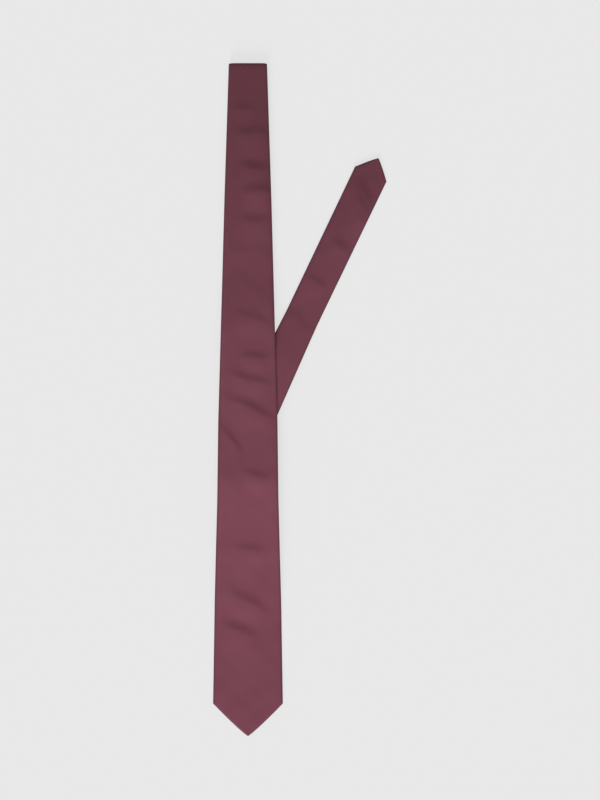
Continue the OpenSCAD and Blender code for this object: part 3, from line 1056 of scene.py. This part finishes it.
sew_envelope("blade_front", blade_rows, blade_gaps, 46, BLADE_FLEX,
             ["blade_envelope_upper", "blade_envelope_lower"])
sew_envelope("blade_over_fold", fold_rows, closed(fold_rows), 34, TOP_FOLD,
             ["blade_end_over_fold", "neck_fold_bend"])
sew_envelope("neck_piece", neck_rows, closed(neck_rows), 26, "neck_strip", ["neck_envelope"])
sew_envelope("tail_over_turn", turn_rows, closed(turn_rows), 26, TAIL_TURN,
             ["tail_start_envelope", "tail_turn_bend"])
sew_envelope("tail_front", tail_rows, tail_gaps, 28, TAIL_FLEX,
             ["tail_envelope_inner", "tail_envelope_outer"])

sew_core("blade_core", blade_rows[BLADE_CORE_SHORT:], BLADE_FLEX,
         ["blade_interlining_upper", "blade_interlining_lower"])
sew_core("fold_core", fold_rows, TOP_FOLD, [])
sew_core("neck_core", neck_rows, "neck_strip", ["neck_interlining"])
sew_core("turn_core", turn_rows, TAIL_TURN, [])
sew_core("tail_core", tail_rows[:-TAIL_CORE_SHORT], TAIL_FLEX,
         ["tail_interlining_inner", "tail_interlining_outer"])

# ------------------------ tippings, label, tag, keeper

BAR_TACK_Y = OPENING_Y + 0.004
BAR_TACK_S = OPENING_S - 0.004
BACK = -THICK / 2


def sew_flat(name, rows, trim, thick, depth, material, slot_name, bodies, nodes, held="laid"):
    """A thin flat sheet of another cloth, laid along the rows at a depth."""
    obj, flat, area = core(name, rows, trim, thick, 20, depth)
    dress(obj, material, slot_name)
    sew(obj, bodies, nodes)
    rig.sheet(obj, flat=flat, held=held, area=area)


TIPPING_DEPTH = BACK + 0.58 * MM
blade_tip_ys = steps(POINT_Y + 4.2 * MM, OPENING_Y - 0.004, 2 * MM)
sew_flat("blade_lining", [blade_row(y) for y in blade_tip_ys], 3 * MM, 0.12 * MM, TIPPING_DEPTH,
         LINING, "tipping", "blade_lower", ["blade_tipping"])
tail_tip_ss = steps(OPENING_S + 0.004, TAIL_LENGTH - 3.4 * MM, 2 * MM)
sew_flat("tail_lining", [tail_row(s) for s in tail_tip_ss], 2.4 * MM, 0.12 * MM, TIPPING_DEPTH,
         LINING, "tipping", "tail_outer", ["tail_tipping"])

LABEL_HALF = size_of("maker_label", 0) / 2
label_low, label_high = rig.box("maker_label")
label_ys = steps(label_low.y, label_high.y, 1.3 * MM)


def label_row(y):
    """The label bows a little away from the blade between its two sewn ends."""
    def place(x, h):
        bow = 0.22 * MM * (1 - np.abs(x / LABEL_HALF) ** 2.5)
        return blade_row(y)[0](x, h - bow)
    return place, LABEL_HALF, 0.0


sew_flat("blank_label", [label_row(y) for y in label_ys], 0.0, 0.16 * MM, BACK - 0.10 * MM,
         RIBBON, "label", "blade_lower", ["maker_label"])

TAG_HALF, TAG_LENGTH, TAG_FOLD_R = 5 * MM, 13.8 * MM, 0.14 * MM
TAG_S = OPENING_S + 0.034


def tag_row(s, out, lean):
    """One slice of the folded ribbon: along the tail, out from its middle, and which way it faces."""
    def place(x, h):
        return on_tail(x, s + h * math.sin(lean), out + h * math.cos(lean))
    return place, TAG_HALF, 0.0


def tag_rows():
    top, low = BACK + 0.42 * MM, BACK + 0.42 * MM - 2 * TAG_FOLD_R
    rows = [tag_row(s, top, 0.0) for s in steps(TAG_S, TAG_S + TAG_LENGTH, 1.2 * MM)]
    for turned in steps(0, math.pi, math.pi / 6)[1:-1]:
        rows.append(tag_row(TAG_S + TAG_LENGTH + TAG_FOLD_R * math.sin(turned),
                            (top + low) / 2 + TAG_FOLD_R * math.cos(turned), turned))
    rows += [tag_row(s, low, math.pi) for s in steps(TAG_S + TAG_LENGTH, TAG_S + 0.6 * MM, 1.2 * MM)]
    return rows


sew_flat("blank_care_tag", tag_rows(), 0.0, 0.09 * MM, 0.0, TAG, "care_tag", "tail_outer",
         ["care_tag"], "folded")

KEEPER_HALF_W = size_of("keeper_band", 1) / 2
KEEPER_T = size_of("keeper_band", 2)
KEEPER_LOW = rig.box("keeper_band")[0][2] + KEEPER_T / 2
# The band runs level below the blade, then rises to it at both ends
KEEPER_RISE_FROM, KEEPER_RISE_TO, KEEPER_END = 0.0195, 0.0240, 0.0256
KEEPER_SLIT, KEEPER_CLOTH = 0.15 * MM, 0.3 * MM


def keeper_height(x):
    top = blade_under(KEEPER_Y) - KEEPER_T / 2 - 0.05 * MM
    return KEEPER_LOW + (top - KEEPER_LOW) * float(ease(KEEPER_RISE_FROM, KEEPER_RISE_TO, abs(x)))


def keeper_row(x):
    """One slice of the keeper band; its front faces away from the blade."""
    rise = (keeper_height(x + 0.05 * MM) - keeper_height(x - 0.05 * MM)) / (0.1 * MM)
    long = math.hypot(1, rise)
    out_x, out_z = rise / long, -1 / long

    def place(a, h):
        lift = blade_lift(np.full_like(a, x), KEEPER_Y + a) - blade_under(KEEPER_Y)
        held = float(ease(KEEPER_RISE_FROM, KEEPER_RISE_TO, abs(x)))
        z = keeper_height(x) + out_z * h + lift * held
        return np.stack([BODY_X + x + out_x * h, KEEPER_Y + a, z], 1)
    return place, KEEPER_HALF_W, 0.0


def sew_keeper():
    xs = steps(-KEEPER_END, KEEPER_END, 0.55 * MM)
    obj, flat, area = envelope("keeper_loop", [keeper_row(x) for x in xs], [KEEPER_SLIT] * len(xs), 14,
                               KEEPER_T, KEEPER_CLOTH)
    dress(obj, SILK, "silk")
    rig.blend(obj, "blade_lower", "keeper", start=(BODY_X, KEEPER_Y, KEEPER_ROOF - 0.95 * MM),
             end=(BODY_X, KEEPER_Y, KEEPER_LOW + KEEPER_T))
    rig.replaces(obj, "keeper_band", "keeper_ends")
    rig.sheet(obj, flat=flat, held="folded", area=min(area, flat[0] * flat[1]))


sew_keeper()

# ------------------------ seams and stitches


def guide(rows, x, proud, out):
    """A guide line on the back of the rows, at x from the centre of each."""
    xs = x if callable(x) else (lambda i: x)
    return [(rows[i](np.array([xs(i)]), np.array([BACK - proud]))[0], out) for i in range(len(rows))]


DOWN, UP = (0, 0, -1), (0, 0, 1)
SLIP = dict(spacing=7 * MM, length=1.5 * MM, turn=62, uneven=0.2)


def centre_back_stitches():
    neck_line = [neck_row(d, 0.0)[0] for d in steps(4 * MM, TURN_DROP - 3 * MM, 3 * MM)]
    sew(stitches("neck_seam_stitches", [guide(neck_line, 0.0, 0.0, UP)], **SLIP), "neck_strip",
        ["neck_slip_stitch"])
    blade_line = [blade_row(y)[0] for y in steps(FOLD_Y - 2 * MM, BAR_TACK_Y + 2 * MM, 2 * MM)]
    sew(stitches("blade_seam_stitches", [guide(blade_line, 0.0, 0.0, DOWN)], **SLIP), BLADE_FLEX,
        ["blade_slip_stitch_upper", "blade_slip_stitch_lower"])
    tail_line = [tail_row(s)[0] for s in steps(4 * MM, BAR_TACK_S - 2 * MM, 2 * MM)]
    sew(stitches("tail_seam_stitches", [guide(tail_line, 0.0, 0.0, DOWN)], **SLIP), TAIL_FLEX,
        ["tail_slip_stitch_inner", "tail_slip_stitch_outer"])


def hem_stitches(name, row_of, gap_of, places, body):
    """Small stitches over both inner edges of the hem, down to the lining."""
    rows = [row_of(p)[0] for p in places]
    lines = [guide(rows, lambda i, side=side: side * gap_of(places[i]), -0.12 * MM, DOWN)
             for side in (-1, 1)]
    sew(stitches(name, lines, spacing=3.6 * MM, length=1.5 * MM, radius=0.09 * MM, lift=0.1 * MM,
                 turn=90, seed=5), body)


def bar_tack(name, row, half, length, body, node):
    """A close row of long stitches over a short bar."""
    bar = [[(row(np.array([x]), np.array([BACK - 0.08 * MM]))[0], DOWN) for x in steps(-half, half, half)]]
    sew(stitches(name, bar, spacing=0.30 * MM, length=length, radius=0.14 * MM, lift=0.16 * MM,
                 turn=90, seed=7, uneven=0.06), body, [node])


def label_stitches():
    rows = [label_row(y)[0] for y in label_ys]
    lines = [guide(rows, side * (LABEL_HALF - 1.2 * MM), 0.16 * MM, DOWN) for side in (-1, 1)]
    sew(stitches("label_stitches", lines, spacing=2.1 * MM, length=1.3 * MM, radius=0.10 * MM,
                 lift=0.08 * MM, turn=0, seed=9, uneven=0.05, thread=LABEL_THREAD), "blade_lower")


def keeper_stitches():
    """Four short tacks that hold the corners of the band to the blade."""
    lines = []
    for side in (-1, 1):
        row = keeper_row(side * (KEEPER_END - 0.5 * MM))[0]
        for end in (-1, 1):
            ys = np.array([end * (KEEPER_HALF_W - 1.2 * MM) + a * MM for a in (-0.7, 0, 0.7)])
            points = row(ys, np.full(3, KEEPER_T / 2 - 0.05 * MM))
            points[:, 0] += side * 0.6 * MM
            lines.append([(p, DOWN) for p in points])
    sew(stitches("keeper_tack_stitches", lines, spacing=0.34 * MM, length=2.0 * MM, radius=0.12 * MM,
                 lift=0.22 * MM, turn=90, seed=11, uneven=0.1), "blade_lower", ["keeper_tacks"])


def reserve_loop():
    """The slack end of the slip stitch, a drop-shaped loop out of the bar tack and back into it."""
    aside, wide, tall, start, clear, slack = 1.5 * MM, 4.4 * MM, 13 * MM, 0.4 * MM, 0.26 * MM, 0.5 * MM
    points = []
    for t in steps(0, 1, 1 / 60):
        away = math.sin(math.pi * t)
        x = aside + wide * math.sin(2 * math.pi * t) * away ** 0.5
        y = BAR_TACK_Y - start - tall * away
        proud = clear + slack * away * abs(math.cos(math.pi * t))
        points.append((blade_row(y)[0](np.array([x]), np.array([BACK - proud]))[0], DOWN))
    loop = needlework("reserve_loop", [points], THREAD_LAYER,
                      {"Spacing": 0.5 * MM, "Thread radius": 0.22 * MM, "Thread": THREAD})
    sew(loop, "blade_lower", ["reserve_thread"])


centre_back_stitches()
hem_stitches("blade_hem_stitches", blade_row, blade_gap,
             steps(OPENING_Y - 16 * MM, POINT_Y + 13 * MM, 2 * MM), "blade_lower")
hem_stitches("tail_hem_stitches", tail_row, tail_gap,
             steps(OPENING_S + 13 * MM, TAIL_LENGTH - 9 * MM, 2 * MM), "tail_outer")
bar_tack("blade_tack_stitches", blade_row(BAR_TACK_Y)[0], 4 * MM, 2.0 * MM, "blade_lower", "blade_bar_tack")
bar_tack("tail_tack_stitches", tail_row(BAR_TACK_S)[0], 1.6 * MM, 1.8 * MM, "tail_outer", "tail_bar_tack")
label_stitches()
keeper_stitches()
reserve_loop()

# ------------------------ floor, light, camera


def floor():
    """A pale floor that glows a little, so that shadows on it stay faint."""
    mesh = bpy.data.meshes.new("floor")
    far = 6.0
    mesh.from_pydata([(-far, -far, 0), (far, -far, 0), (far, far, 0), (-far, far, 0)], [], [(0, 1, 2, 3)])
    obj = put("floor", mesh)
    material, tree, shader = blank_material("pale_floor")
    plug(tree, shader.inputs, {"Base Color": (0.14, 0.14, 0.14, 1), "Emission Color": (1, 1, 1, 1),
                               "Emission Strength": 0.67, "Roughness": 0.9, "Specular IOR Level": 0.1})
    mesh.materials.append(material)
    obj.location.z = -0.05 * MM  # just under the cloth
    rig.stage(obj)


def sun(name, direction, spread, power):
    data = bpy.data.lights.new(name, "SUN")
    data.angle = math.radians(spread)
    data.energy = power
    put(name, data).rotation_euler = Vector(direction).to_track_quat("-Z", "Y").to_euler()


def light():
    """Even light all round, and a soft low one from the tie's point that shows the lie of the cloth."""
    world = bpy.data.worlds.new("studio")
    bpy.context.scene.world = world
    world.use_nodes = True
    around = world.node_tree.nodes["Background"].inputs
    plug(world.node_tree, around, {"Color": (1, 1, 1, 1), "Strength": 0.64})
    sun("key", (0.20, 0.94, -0.25), 24, 4.2)


def camera():
    data = bpy.data.cameras.new("camera")
    distance, frame_h = 2.6, 0.872
    centre_x, centre_y = 0.0003, -0.0003
    data.sensor_width = 36
    data.lens = 36 * distance / frame_h
    data.clip_end = 50
    obj = put("camera", data)
    obj.location = (centre_x, centre_y, distance)
    bpy.context.scene.camera = obj


floor()
light()
camera()
scene = bpy.context.scene
scene.view_settings.view_transform = "Standard"
visual_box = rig.bounds()
with open("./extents.json", "w") as out:
    json.dump({"cad": [list(c) for c in cad_box], "visual": [list(c) for c in visual_box]}, out)
